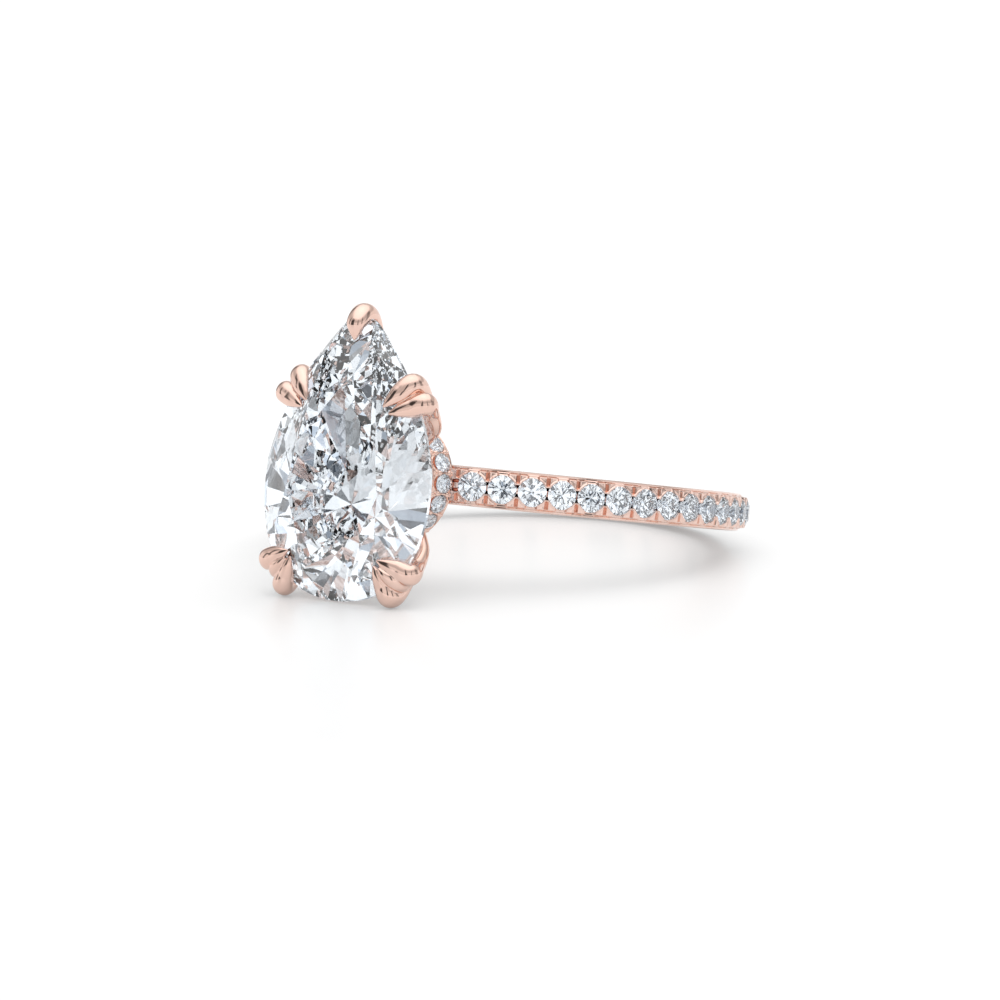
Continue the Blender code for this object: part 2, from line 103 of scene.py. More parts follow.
def node(nt, kind, **values):
    n = nt.nodes.new(kind)
    for key, value in values.items():
        if key in n.inputs:
            n.inputs[key].default_value = value
        else:
            setattr(n, key, value)
    return n


def ramp(nt, stops):
    n = nt.nodes.new("ShaderNodeValToRGB")
    n.color_ramp.elements[0].position = stops[0][0]
    n.color_ramp.elements[0].color = stops[0][1]
    n.color_ramp.elements[1].position = stops[-1][0]
    n.color_ramp.elements[1].color = stops[-1][1]
    for pos, col in stops[1:-1]:
        e = n.color_ramp.elements.new(pos)
        e.color = col
    return n


def rose_gold(name, rough=(0.05, 0.13), base=(0.84, 0.595, 0.505), scratch=0.05):
    """Polished rose gold: faint alloy clouding, buffing lines and handling haze."""
    mat, nt, bsdf = new_material(name)
    coord = node(nt, "ShaderNodeTexCoord")
    cloud = node(nt, "ShaderNodeTexNoise", Scale=900.0, Detail=4.0, Roughness=0.55)
    nt.links.new(coord.outputs["Object"], cloud.inputs["Vector"])
    b = Vector(base)
    tint = ramp(nt, [(0.3, (b.x * 0.97, b.y * 0.95, b.z * 0.94, 1)),
                     (0.7, (min(1, b.x * 1.02), b.y * 1.03, b.z * 1.04, 1))])
    nt.links.new(cloud.outputs["Fac"], tint.inputs["Fac"])
    nt.links.new(tint.outputs["Color"], bsdf.inputs["Base Color"])
    haze = node(nt, "ShaderNodeTexNoise", Scale=2600.0, Detail=5.0, Roughness=0.6)
    nt.links.new(coord.outputs["Object"], haze.inputs["Vector"])
    spread = node(nt, "ShaderNodeMapRange")
    spread.inputs["From Min"].default_value = 0.35
    spread.inputs["From Max"].default_value = 0.75
    spread.inputs["To Min"].default_value = rough[0]
    spread.inputs["To Max"].default_value = rough[1]
    nt.links.new(haze.outputs["Fac"], spread.inputs["Value"])
    nt.links.new(spread.outputs["Result"], bsdf.inputs["Roughness"])
    stretch = node(nt, "ShaderNodeMapping")
    stretch.inputs["Scale"].default_value = (2000.0, 26000.0, 9000.0)
    nt.links.new(coord.outputs["Object"], stretch.inputs["Vector"])
    lines = node(nt, "ShaderNodeTexNoise", Scale=1.0, Detail=3.0, Roughness=0.5)
    nt.links.new(stretch.outputs["Vector"], lines.inputs["Vector"])
    bump = node(nt, "ShaderNodeBump", Strength=scratch, Distance=0.000004)
    nt.links.new(lines.outputs["Fac"], bump.inputs["Height"])
    nt.links.new(bump.outputs["Normal"], bsdf.inputs["Normal"])
    bsdf.inputs["Metallic"].default_value = 1.0
    mat.diffuse_color = (*base, 1.0)
    return mat


def diamond(name, tint=(1.0, 1.0, 1.0)):
    """Colourless diamond: clear body, faint polish haze and a frosted trace."""
    mat, nt, bsdf = new_material(name)
    coord = node(nt, "ShaderNodeTexCoord")
    haze = node(nt, "ShaderNodeTexNoise", Scale=1500.0, Detail=3.0, Roughness=0.5)
    nt.links.new(coord.outputs["Object"], haze.inputs["Vector"])
    spread = node(nt, "ShaderNodeMapRange")
    spread.inputs["From Min"].default_value = 0.4
    spread.inputs["From Max"].default_value = 0.8
    spread.inputs["To Min"].default_value = 0.0
    spread.inputs["To Max"].default_value = 0.012
    nt.links.new(haze.outputs["Fac"], spread.inputs["Value"])
    nt.links.new(spread.outputs["Result"], bsdf.inputs["Roughness"])
    body = ramp(nt, [(0.3, (0.865 * tint[0], 0.925 * tint[1], 0.980 * tint[2], 1)),
                     (0.7, (0.89 * tint[0], 0.945 * tint[1], 0.995 * tint[2], 1))])
    nt.links.new(haze.outputs["Fac"], body.inputs["Fac"])
    nt.links.new(body.outputs["Color"], bsdf.inputs["Base Color"])
    polish = node(nt, "ShaderNodeTexNoise", Scale=9000.0, Detail=2.0)
    nt.links.new(coord.outputs["Object"], polish.inputs["Vector"])
    bump = node(nt, "ShaderNodeBump", Strength=0.004, Distance=0.000001)
    nt.links.new(polish.outputs["Fac"], bump.inputs["Height"])
    nt.links.new(bump.outputs["Normal"], bsdf.inputs["Normal"])
    bsdf.inputs["Transmission Weight"].default_value = 1.0
    bsdf.inputs["Specular IOR Level"].default_value = 0.2
    bsdf.inputs["IOR"].default_value = 2.42
    mat.diffuse_color = (0.93, 0.95, 0.97, 0.4)
    return mat


mat_band = rose_gold("rose_gold_band", base=(0.845, 0.62, 0.54))
mat_seat = rose_gold("bright_cut_seats", rough=(0.10, 0.22), base=(0.80, 0.80, 0.82))
mat_claw = rose_gold("rose_gold_claws", rough=(0.04, 0.10))
mat_collar = rose_gold("rose_gold_collar")
mat_pear = diamond("diamond_pear")
mat_melee = diamond("diamond_band_stones")
mat_halo = diamond("diamond_collar_stones")


# ------------------------------------------------------------ mesh helpers
def mesh_from(bm, name, smooth_deg=None):
    bmesh.ops.recalc_face_normals(bm, faces=bm.faces)
    bmesh.ops.scale(bm, vec=(MM, MM, MM), verts=bm.verts)
    me = bpy.data.meshes.new(name)
    bm.to_mesh(me)
    bm.free()
    if smooth_deg is not None:
        me.shade_smooth()
        me.set_sharp_from_angle(angle=math.radians(smooth_deg))
    return me


def place(name, me, matrix, mat, slot, *nodes):
    ob = bpy.data.objects.new(name, me)
    bpy.context.scene.collection.objects.link(ob)
    ob.matrix_world = matrix
    if not me.materials:
        me.materials.append(mat)
    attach(ob, "root")
    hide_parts(*nodes)
    return ob


def loft(sections, close_path=False):
    bm = bmesh.new()
    rings = [[bm.verts.new(p) for p in sec] for sec in sections]
    count = len(rings)
    for i in range(count if close_path else count - 1):
        a, b = rings[i], rings[(i + 1) % count]
        for j in range(len(a)):
            k = (j + 1) % len(a)
            bm.faces.new((a[j], a[k], b[k], b[j]))
    if not close_path:
        bm.faces.new(list(reversed(rings[0])))
        bm.faces.new(rings[-1])
    return bm


# ------------------------------------------------------------ stones
def pear_half_width(y):
    if y >= PEAR_MID:
        t = (y - PEAR_MID) / PEAR_UP_LEN
        return PEAR_HALF_W * (1.0 - t ** PEAR_UP_EXP)
    t = min(1.0, (PEAR_MID - y) / (PEAR_MID - PEAR_BOTTOM))
    return PEAR_HALF_W * (1.0 - t ** PEAR_LOW_EXP) ** (1.0 / PEAR_LOW_EXP)


def pear_outline(count):
    right = []
    steps = 600
    for i in range(steps + 1):
        a = math.pi * i / steps
        if a <= math.pi / 2:
            y = PEAR_MID - (PEAR_MID - PEAR_BOTTOM) * math.cos(a) ** (2.0 / PEAR_LOW_EXP)
            x = PEAR_HALF_W * math.sin(a) ** (2.0 / PEAR_LOW_EXP)
        else:
            u = (a - math.pi / 2) / (math.pi / 2)
            y = PEAR_MID + (PEAR_TIP - 0.55 - PEAR_MID) * u
            x = pear_half_width(y)
        right.append(Vector((x, y)))
    x0, y0 = right[-1]
    slope = (-PEAR_HALF_W * PEAR_UP_EXP / PEAR_UP_LEN
             * ((y0 - PEAR_MID) / PEAR_UP_LEN) ** (PEAR_UP_EXP - 1))
    for i in range(1, 41):
        u = i / 40.0
        ctrl_x = max(0.05, x0 + slope * (PEAR_TIP - y0))
        right.append(Vector(((1 - u) ** 2 * x0 + 2 * u * (1 - u) * ctrl_x,
                             (1 - u) ** 2 * y0 + 2 * u * (1 - u) * PEAR_TIP + u * u * PEAR_TIP)))
    loop = right + [Vector((-p.x, p.y)) for p in reversed(right[1:-1])]
    length = [0.0]
    for i in range(len(loop)):
        length.append(length[-1] + (loop[(i + 1) % len(loop)] - loop[i]).length)
    out = []
    j = 0
    for k in range(count):
        target = length[-1] * k / count
        while length[j + 1] < target:
            j += 1
        f = (target - length[j]) / max(1e-12, length[j + 1] - length[j])
        out.append(loop[j].lerp(loop[(j + 1) % len(loop)], f))
    return out


def cut_gem(outline, top, bottom, planes):
    """A blank, then one flat at a time."""
    bm = bmesh.new()
    low = [bm.verts.new((p.x, p.y, bottom)) for p in outline]
    face = bm.faces.new(low)
    out = bmesh.ops.extrude_face_region(bm, geom=[face])
    up = [v for v in out["geom"] if isinstance(v, bmesh.types.BMVert)]
    bmesh.ops.translate(bm, vec=(0, 0, top - bottom), verts=up)
    bmesh.ops.recalc_face_normals(bm, faces=bm.faces)
    for co, no in planes:
        geom = bm.verts[:] + bm.edges[:] + bm.faces[:]
        bmesh.ops.bisect_plane(bm, geom=geom, dist=1e-6, plane_co=co, plane_no=no,
                               clear_outer=True)
        rim = [e for e in bm.edges if e.is_boundary]
        if rim:
            bmesh.ops.holes_fill(bm, edges=rim, sides=0)
    bmesh.ops.remove_doubles(bm, verts=bm.verts, dist=1e-4)
    bmesh.ops.dissolve_degenerate(bm, edges=bm.edges, dist=1e-5)
    return bm


def plane_through(point, tangent, inner, up):
    n = tangent.cross(inner - point).normalized()
    if n.z * up < 0:
        n = -n
    return point, n


def brilliant_planes(girdle_at, centre, crown_top, culet, table_k, girdle_t, mains=8,
                     lower_half=0.76, star=0.52, start=0.25, pav_turn=0.0):
    half = girdle_t / 2.0

    def gp(t, z):
        p = girdle_at(t % 1.0)
        return Vector((p.x, p.y, z))

    def tangent(t):
        d = girdle_at((t + 0.004) % 1.0) - girdle_at((t - 0.004) % 1.0)
        return Vector((d.x, d.y, 0.0)).normalized()

    def corner(t):
        g = gp(t, half)
        return Vector((centre.x + (g.x - centre.x) * table_k,
                       centre.y + (g.y - centre.y) * table_k, crown_top))

    ts = [start + k / mains for k in range(mains)]
    planes = [(Vector((0, 0, crown_top)), Vector((0, 0, 1)))]
    bezel = [plane_through(gp(t, half), tangent(t), corner(t), 1) for t in ts]
    pav = [plane_through(gp(t + pav_turn, -half), tangent(t + pav_turn), culet, -1) for t in ts]
    planes += bezel + pav
    for k, t in enumerate(ts):
        star_pt = None
        for facets, z_edge, target, share, up, turn in (
                (bezel, half, crown_top, star, 1, 0.0),
                (pav, -half, culet.z, lower_half, -1, pav_turn)):
            (c1, n1), (c2, n2) = facets[k], facets[(k + 1) % mains]
            m = Matrix((n1, n2, Vector((0, 0, 1))))
            z = z_edge + (target - z_edge) * share
            ridge = m.inverted() @ Vector((n1.dot(c1), n2.dot(c2), z))
            if up > 0:
                star_pt = ridge
            for q in (t + 0.25 / mains + turn, t + 0.75 / mains + turn):
                planes.append(plane_through(gp(q, z_edge), tangent(q), ridge, up))
        a, b = corner(t), corner(t + 1.0 / mains)
        n = (b - a).cross(star_pt - a).normalized()
        if n.z < 0:
            n = -n
        planes.append((a, n))
    return planes


pear_points = pear_outline(1440)


def pear_girdle(t):
    ang = 2.0 * math.pi * t
    d = Vector((math.cos(ang), math.sin(ang)))
    c = Vector((0.0, CULET_Y))
    for p, q in zip(pear_points, pear_points[1:] + pear_points[:1]):
        v1, v2 = p - c, q - c
        k1 = d.x * v1.y - d.y * v1.x
        k2 = d.x * v2.y - d.y * v2.x
        if k1 <= 0.0 < k2 and (v1 + v2).dot(d) > 0:
            return p.lerp(q, -k1 / (k2 - k1))
    return pear_points[0]


def pear_bmesh(count, grow=0.0):
    outline = pear_outline(count)
    planes = brilliant_planes(pear_girdle, Vector((0.0, -0.25)), GIRDLE_T / 2 + CROWN_H,
                              Vector((0.0, CULET_Y, -GIRDLE_T / 2 - PAV_DEPTH)),
                              TABLE_K, GIRDLE_T, lower_half=0.83)
    if grow:
        planes = [(co + no * grow, no) for co, no in planes]
        outline = [p + Vector((p.x, p.y)).normalized() * grow for p in outline]
    return cut_gem(outline, GIRDLE_T / 2 + CROWN_H + 0.3, -GIRDLE_T / 2 - PAV_DEPTH - 0.3, planes)


def round_brilliant(name, diameter, count=64, girdle=0.03, crown=0.155, pav=0.43):
    r = diameter / 2.0

    def at(t):
        return Vector((r * math.cos(2 * math.pi * t), r * math.sin(2 * math.pi * t)))

    g = girdle * diameter
    planes = brilliant_planes(at, Vector((0.0, 0.0)), g / 2 + crown * diameter,
                              Vector((0.0, 0.0, -g / 2 - pav * diameter)), 0.57, g,
                              lower_half=0.78, star=0.5)
    outline = [at((i + 0.5) / count) for i in range(count)]
    bm = cut_gem(outline, crown * diameter + 0.1, -pav * diameter - 0.1, planes)
    return mesh_from(bm, name)


place("pear_diamond", mesh_from(pear_bmesh(192), "pear_diamond"),
      HEAD @ Matrix.Translation((0, 0, GIRDLE_H * MM)), mat_pear, "centre_diamond", "centre_stone")

melee_me = round_brilliant("band_brilliant", MELEE_D)
halo_me = round_brilliant("collar_brilliant", COLLAR_D)
melee_me.materials.append(mat_melee)
halo_me.materials.append(mat_halo)

QUARTER = Matrix.Rotation(math.radians(90.0), 4, "X")
for side, tag in ((1, "right"), (-1, "left")):
    for k in range(PER_SIDE):
        phi = math.radians(side * (FIRST_DEG + k * PITCH_DEG))
        turn = Matrix.Rotation(2.399963 * (k + 1) * side, 4, "Z")   # stones are set at chance turns
        m = (RING @ Matrix.Rotation(phi, 4, "Z") @ Matrix.Translation((0, -MELEE_GIRDLE_R * MM, 0))
             @ QUARTER @ turn)
        place("brilliant_band_%s_%02d" % (tag, k + 1), melee_me, m, mat_melee, "small_diamonds",
              "band_stone_%s_%02d" % (tag, k + 1))
for k in range(COLLAR_STONES):
    a = 2 * math.pi * k / COLLAR_STONES
    turn = Matrix.Rotation(2.399963 * (k + 3), 4, "Z")
    m = (HEAD @ Matrix.Rotation(a, 4, "Z")
         @ Matrix.Translation((COLLAR_GIRDLE_R * MM, 0, COLLAR_STONE_H * MM))
         @ Matrix.Rotation(math.radians(90.0 - COLLAR_LEAN), 4, "Y") @ turn)
    place("brilliant_collar_%02d" % (k + 1), halo_me, m, mat_halo, "small_diamonds",
          "collar_stone_%02d" % (k + 1))


# ------------------------------------------------------------ the band
def step(x, a, b):
    t = np.clip((x - a) / (b - a), 0.0, 1.0)
    return t * t * (3 - 2 * t)


def fishtail_height(s, z):
    """Outer surface of the set part of the band, as a radius in mm: s is the
    arc distance from the nearest stone's centre, z the distance from the
    band's middle line.  Past half a pitch there is no stone, only the plate."""
    pitch = math.radians(PITCH_DEG) * MELEE_GIRDLE_R
    s = np.abs(s)
    z = np.abs(z)
    gap = pitch / 2 - s                       # distance from the middle between two stones
    rho = np.hypot(s, z)
    # channel floor, with a drill slot down each side of it
    floor = 9.86 - 0.45 * step(z, 0.120, 0.145) * (1 - step(z, 0.225, 0.26))
    # conical seat under each stone
    seat = 9.93 - (0.60 - rho) * 0.98
    base = np.where(rho < 0.60, np.maximum(seat, 9.36), floor)
    # U cut beside the stone, falling away to the rail
    scallop = 9.90 - 0.13 * step(z, 0.60, 0.69)
    base = np.where((rho >= 0.60) & (z > 0.25), np.maximum(base, scallop), base)
    # thin web between neighbouring seats
    web = step(0.030 - gap, 0.0, 0.016) * (1 - step(-gap, 0.004, 0.020)) * (1 - step(z, 0.22, 0.25))
    base = base * (1 - web) + 9.86 * web
    # fishtail plate with a rounded lip along the stone
    inside = (step(rho, 0.540, 0.575) * step(z, 0.212, 0.245) * (1 - step(z, 0.655, 0.705))
              * (1 - step(gap, 0.37, 0.45)))
    ridge = np.exp(-((rho - 0.605) / 0.045) ** 2)
    plate = 10.07 - 0.030 * step(z, 0.25, 0.68) + 0.050 * ridge
    # engraved groove down its middle, round at the inner end, with a raised lip
    zc = np.clip(z, 0.385, 0.80)
    d = np.hypot(gap, z - zc)
    plate = plate - 0.19 * (1 - step(d, 0.010, 0.076)) + 0.024 * np.exp(-((d - 0.098) / 0.024) ** 2)
    body = base * (1 - inside) + plate * inside
    # plain rail with a fine line cut along its inner side
    rail = 9.80 - 0.09 * step(z, 0.775, 0.825)
    cut = np.exp(-((z - 0.708) / 0.014) ** 2) * step(gap * -1, -0.40, -0.34)
    edge = step(z, 0.700, 0.722)
    out = body * (1 - edge) + rail * edge
    return out - 0.05 * cut


def build_band():
    hw = BAND_W / 2.0
    per = 44
    zs = []
    n = 72
    for i in range(n + 1):
        zs.append(-hw + BAND_W * i / n)
    zs = np.array(zs)
    # angles and whether they belong to the set shoulders
    start = FIRST_DEG - PITCH_DEG / 2
    stop = FIRST_DEG + (PER_SIDE - 0.5) * PITCH_DEG
    right = []
    right += [(a, None) for a in np.linspace(0.0, start - 6.0, 12, endpoint=False)]
    right += [(a, "in") for a in np.linspace(start - 6.0, start, 38, endpoint=False)]
    for k in range(PER_SIDE):
        c = FIRST_DEG + k * PITCH_DEG
        right += [(c + PITCH_DEG * (i / per - 0.5), "set") for i in range(per)]
    right += [(a, "out") for a in np.linspace(stop, stop + 1.9, 12, endpoint=False)]
    right += [(a, None) for a in np.linspace(stop + 1.9, 180.0, 40, endpoint=False)]
    stations = [(-a, s) for a, s in reversed(right[1:])] + right + [(180.0, None)]
    plain = RAIL_R + 0.05 - 0.085 * (np.abs(zs) / hw) ** 4
    # sides and bore, the same at every station
    inner = []
    for i in range(1, 9):
        u = i / 9.0
        inner.append((RAIL_R - 0.03 - (RAIL_R - 0.03 - (BORE_R + BORE_EASE)) * u, hw))
    for i in range(0, 9):
        a = math.pi / 2 * i / 8
        inner.append((BORE_R + BORE_EASE - BORE_EASE * math.sin(a), hw - 0.30 * (1 - math.cos(a))))
    inner.append((BORE_R - 0.0, hw * 0.3))
    loop_in = inner + [(r, -z) for r, z in reversed(inner)]
    bm = bmesh.new()
    rings = []
    along = []
    cache = {}
    for a, state in stations:
        rad = math.radians(a)
        along.append(9.0)
        if state is None:
            h = plain
        else:
            aa = abs(a)
            rel = (aa - FIRST_DEG) / PITCH_DEG
            if state == "set":
                rel -= round(rel)
            elif state == "in":
                rel = -0.5 - (FIRST_DEG - PITCH_DEG / 2 - aa) / PITCH_DEG
            else:
                rel = 0.5 + (aa - stop) / PITCH_DEG
            key = round(rel * 1e5)
            if key not in cache:
                s = rel * math.radians(PITCH_DEG) * MELEE_GIRDLE_R
                if state == "set":
                    cache[key] = fishtail_height(np.full_like(zs, s), zs)
                elif state == "in":
                    over = abs(s) - math.radians(PITCH_DEG) * MELEE_GIRDLE_R / 2
                    f = step(np.array([over]), 0.80, 1.00)[0]
                    cache[key] = fishtail_height(np.full_like(zs, s), zs) * (1 - f) + plain * f
                else:
                    over = abs(s) - math.radians(PITCH_DEG) * MELEE_GIRDLE_R / 2
                    mirrored = math.radians(PITCH_DEG) * MELEE_GIRDLE_R / 2 - over
                    f = step(np.array([over]), 0.10, 0.30)[0]
                    cache[key] = fishtail_height(np.full_like(zs, mirrored), zs) * (1 - f) + plain * f
            h = cache[key]
            if state == "set":
                along[-1] = abs(rel) * math.radians(PITCH_DEG) * MELEE_GIRDLE_R
        prof = [(float(r), float(z)) for r, z in zip(h, zs)]       # -hw .. +hw on the outside
        prof += loop_in
        c, sn = math.cos(rad), math.sin(rad)
        rings.append([bm.verts.new((r * sn, -r * c, z)) for r, z in prof])
    count = len(rings)
    for i in range(count):
        p, q = rings[i], rings[(i + 1) % count]
        for j in range(len(p)):
            k = (j + 1) % len(p)
            f = bm.faces.new((p[j], p[k], q[k], q[j]))
            if j < n and math.hypot((along[i] + along[(i + 1) % count]) / 2, (zs[j] + zs[j + 1]) / 2) < 0.575:
                f.material_index = 1          # the cut seats under the stones
            if j < n and abs(stations[i][0]) < 9.0 and abs(zs[j]) < 0.72:
                f.material_index = 1          # the bright-finished pad under the collar
    me = mesh_from(bm, "band", 38)
    me.materials.append(mat_band)
    me.materials.append(mat_seat)
    return me


place("band", build_band(), RING, mat_band, "rose_gold", "shank")


# ------------------------------------------------------------ the collar
def build_collar():
    """Ring whose outer wall leans in towards the pear, with a U cut round each
    stone, a fine ridge along the cut and a group of beads between stones."""
    per = 40
    total = per * COLLAR_STONES
    r0 = COLLAR_R - COLLAR_T / 2
    lean = math.radians(COLLAR_LEAN)
    nz = 64
    hs = np.linspace(COLLAR_H0 + 0.04, COLLAR_H1 - 0.04, nz + 1)
    pitch = 2 * math.pi * COLLAR_GIRDLE_R / COLLAR_STONES
    rr = COLLAR_D / 2
    bm = bmesh.new()
    rings = []
    inside = []
    for i in range(total):
        a = 2 * math.pi * i / total
        rel = i / per
        rel -= round(rel)
        s = abs(rel) * pitch
        gap = pitch / 2 - s
        dh = hs - COLLAR_STONE_H
        v = dh / math.cos(lean)
        rho = np.hypot(s, v)
        # U cuts towards the pear and towards the band
        d_up = np.hypot(s, np.maximum(v - 0.27, 0.0))
        d_low = np.hypot(s, np.maximum(-v - 0.10, 0.0))
        d = np.where(v > 0, d_up, d_low)
        w = -0.01 - 0.17 * (1 - step(d, 0.27, 0.325)) + 0.035 * np.exp(-((d - 0.345) / 0.022) ** 2)
        # a plain rail closes the wall on both rims
        rim = step(v, 0.60, 0.635) + (1 - step(v, -0.50, -0.47))
        w = w * (1 - rim) + 0.0 * rim
        w = w - 0.05 * np.exp(-((v - 0.615) / 0.014) ** 2)
        # seat
        seat = -0.03 - (rr + 0.012 - rho) * 0.98
        w = np.where(rho < rr + 0.012, np.maximum(seat, -0.34), w)
        # beads
        for g0, v0, rb in ((0.0, 0.265, 0.118), (0.075, 0.43, 0.080), (0.0, 0.53, 0.060),
                           (0.0, -0.265, 0.118), (0.0, -0.43, 0.080)):
            q = np.hypot(gap - g0, v - v0) / rb
            bead = np.sqrt(np.clip(1 - q * q, 0, 1)) * rb * 1.1
            w = np.where(q < 1, np.maximum(w, -0.02 + bead), w)
        wall = COLLAR_GIRDLE_R - dh * math.tan(lean) + w / math.cos(lean)
        wall = np.maximum(wall, r0 + 0.06)
        prof = [(float(x), float(h)) for x, h in zip(wall, hs)]
        prof += [(prof[-1][0] - 0.04, COLLAR_H1), (r0 + 0.07, COLLAR_H1), (r0, COLLAR_H1 - 0.07),
                 (r0, COLLAR_H0 + 0.07), (r0 + 0.07, COLLAR_H0), (prof[0][0] - 0.04, COLLAR_H0)]
        rings.append([bm.verts.new((x * math.cos(a), x * math.sin(a), h)) for x, h in prof])
        inside.append(rho < rr - 0.01)
    for i in range(total):
        p, q = rings[i], rings[(i + 1) % total]
        for j in range(len(p)):
            k = (j + 1) % len(p)
            f = bm.faces.new((p[j], p[k], q[k], q[j]))
            if (j < nz and inside[i][j] and inside[(i + 1) % total][j]) or nz + 2 <= j <= nz + 4:
                f.material_index = 1
    me = mesh_from(bm, "collar", 38)
    me.materials.append(mat_collar)
    me.materials.append(mat_seat)
    return me


place("collar", build_collar(), HEAD, mat_collar, "rose_gold", "halo_collar")


# ------------------------------------------------------------ the claws
def smooth_path(knots, count):
    pts = [Vector(k) for k in knots]
    pts = [pts[0] * 2 - pts[1]] + pts + [pts[-1] * 2 - pts[-2]]
    spans = len(pts) - 3
    out = []
    for i in range(count + 1):
        u = i / count * spans
        k = min(int(u), spans - 1)
        f = u - k
        p0, p1, p2, p3 = pts[k:k + 4]
        out.append([0.5 * ((2 * b) + (c - a) * f + (2 * a - 5 * b + 4 * c - d) * f * f
                           + (-a + 3 * b - 3 * c + d) * f ** 3)
                    for a, b, c, d in zip(p0, p1, p2, p3)])
    return out


def claw_tube(knots, count=64, sides=32):
    path = smooth_path(knots, count)
    pos = [Vector(p[:3]) for p in path]
    lateral = None
    sections = []
    for i, p in enumerate(path):
        tan = (pos[min(i + 1, count)] - pos[max(i - 1, 0)]).normalized()
        if i == count:
            tan = Vector((0, 0, -1))
        if lateral is None:
            out_dir = pos[count // 4] - pos[0]
            lateral = Vector((-out_dir.y, out_dir.x, 0)).normalized()
        lateral = (lateral - tan * lateral.dot(tan)).normalized()
        normal = tan.cross(lateral)
        w, t = max(p[3], 0.03), max(p[4], 0.03)
        sections.append([pos[i] + lateral * (w * math.cos(2 * math.pi * j / sides))
                         + normal * (t * math.sin(2 * math.pi * j / sides)) for j in range(sides)])
    return loft(sections)


def crown_height(x, y):
    best = 1.0
    for i in range(1, 60):
        k = 1.0 - i / 60.0
        if k <= TABLE_K:
            return GIRDLE_H + GIRDLE_T / 2 + CROWN_H
        px, py = x / k, (y + 0.25) / k - 0.25
        if not (PEAR_BOTTOM < py < PEAR_TIP and abs(px) < pear_half_width(py)):
            best = k
            break
    return GIRDLE_H + GIRDLE_T / 2 + CROWN_H * (1.0 - best) / (1.0 - TABLE_K)


def lobe_knots(tip, bulge, stem, root, side, root_h):
    """One lobe: a pointed tip on the crown, a round back over the girdle and a
    stem that runs down and in beside its twin to the collar."""
    tip, bulge, stem, root = Vector(tip), Vector(bulge), Vector(stem), Vector(root)
    across = Vector((-(stem.y), stem.x)).normalized() * side

    def over(f, lift):
        p = tip.lerp(bulge, f)
        return p.x, p.y, max(crown_height(p.x, p.y), GIRDLE_H + 0.12) + lift

    low = bulge + (stem - bulge).normalized() * 0.36
    up_stem = stem + across * 0.17
    down_stem = stem.lerp(root, 0.60) + across * 0.11
    foot = root + across * 0.07
    return [
        over(0.0, 0.04) + (0.05, 0.05),
        over(0.28, 0.15) + (0.25, 0.17),
        over(0.62, 0.20) + (0.42, 0.31),
        (bulge.x, bulge.y, GIRDLE_H + 0.06, 0.47, 0.42),
        (low.x, low.y, GIRDLE_H - 0.60, 0.40, 0.37),
        (up_stem.x, up_stem.y, GIRDLE_H - 1.30, 0.29, 0.28),
        (down_stem.x, down_stem.y, GIRDLE_H - 2.15, 0.25, 0.25),
        (foot.x, foot.y, root_h, 0.225, 0.215),
    ]


seat_ob = bpy.data.objects.new("helper_seat", mesh_from(pear_bmesh(96, grow=0.012), "helper_seat"))
bpy.context.scene.collection.objects.link(seat_ob)
seat_ob.matrix_world = HEAD @ Matrix.Translation((0, 0, GIRDLE_H * MM))


def make_claw(name, lobes):
    """Lobes fused into one casting, softened at the joins, then notched for the stone."""
    bm = bmesh.new()
    for knots in lobes:
        part = claw_tube(knots)
        piece = bpy.data.meshes.new("helper_lobe")
        part.to_mesh(piece)
        part.free()
        bm.from_mesh(piece)
        bpy.data.meshes.remove(piece)
    ob = bpy.data.objects.new("helper_" + name, mesh_from(bm, name))
    bpy.context.scene.collection.objects.link(ob)
    ob.matrix_world = HEAD
    fuse = ob.modifiers.new("fuse", "REMESH")
    fuse.mode = "VOXEL"
    fuse.voxel_size = 0.026 * MM
    fuse.adaptivity = 0.0
    soft = ob.modifiers.new("soft", "SMOOTH")
    soft.factor, soft.iterations = 0.5, 3
    cut = ob.modifiers.new("notch", "BOOLEAN")
    cut.operation, cut.solver, cut.object = "DIFFERENCE", "EXACT", seat_ob
    bpy.context.view_layer.update()
    me = bpy.data.meshes.new_from_object(ob.evaluated_get(bpy.context.evaluated_depsgraph_get()))
    bpy.data.objects.remove(ob, do_unlink=True)
    bm = bmesh.new()
    bm.from_mesh(me)
    # a sliver left on the far side of the notch is filed away
    left = set(bm.verts)
    islands = []
    while left:
        stack = [left.pop()]
        group = list(stack)
        while stack:
            for e in stack.pop().link_edges:
                for v in e.verts:
                    if v in left:
                        left.remove(v)
                        group.append(v)
                        stack.append(v)
        islands.append(group)
    islands.sort(key=len)
    for group in islands[:-1]:
        bmesh.ops.delete(bm, geom=group, context="VERTS")
    bm.to_mesh(me)
    bm.free()
    me.materials.clear()
    me.shade_smooth()
    me.set_sharp_from_angle(angle=math.radians(42))
    return me


def mirrored_mesh(me, name):
    bm = bmesh.new()
    bm.from_mesh(me)
    bmesh.ops.scale(bm, vec=(-1, 1, 1), verts=bm.verts)
    bmesh.ops.reverse_faces(bm, faces=bm.faces)
    out = bpy.data.meshes.new(name)
    bm.to_mesh(out)
    bm.free()
    out.shade_smooth()
    out.set_sharp_from_angle(angle=math.radians(42))
    return out


def polar(deg, r):
    return (r * math.cos(math.radians(deg)), r * math.sin(math.radians(deg)))


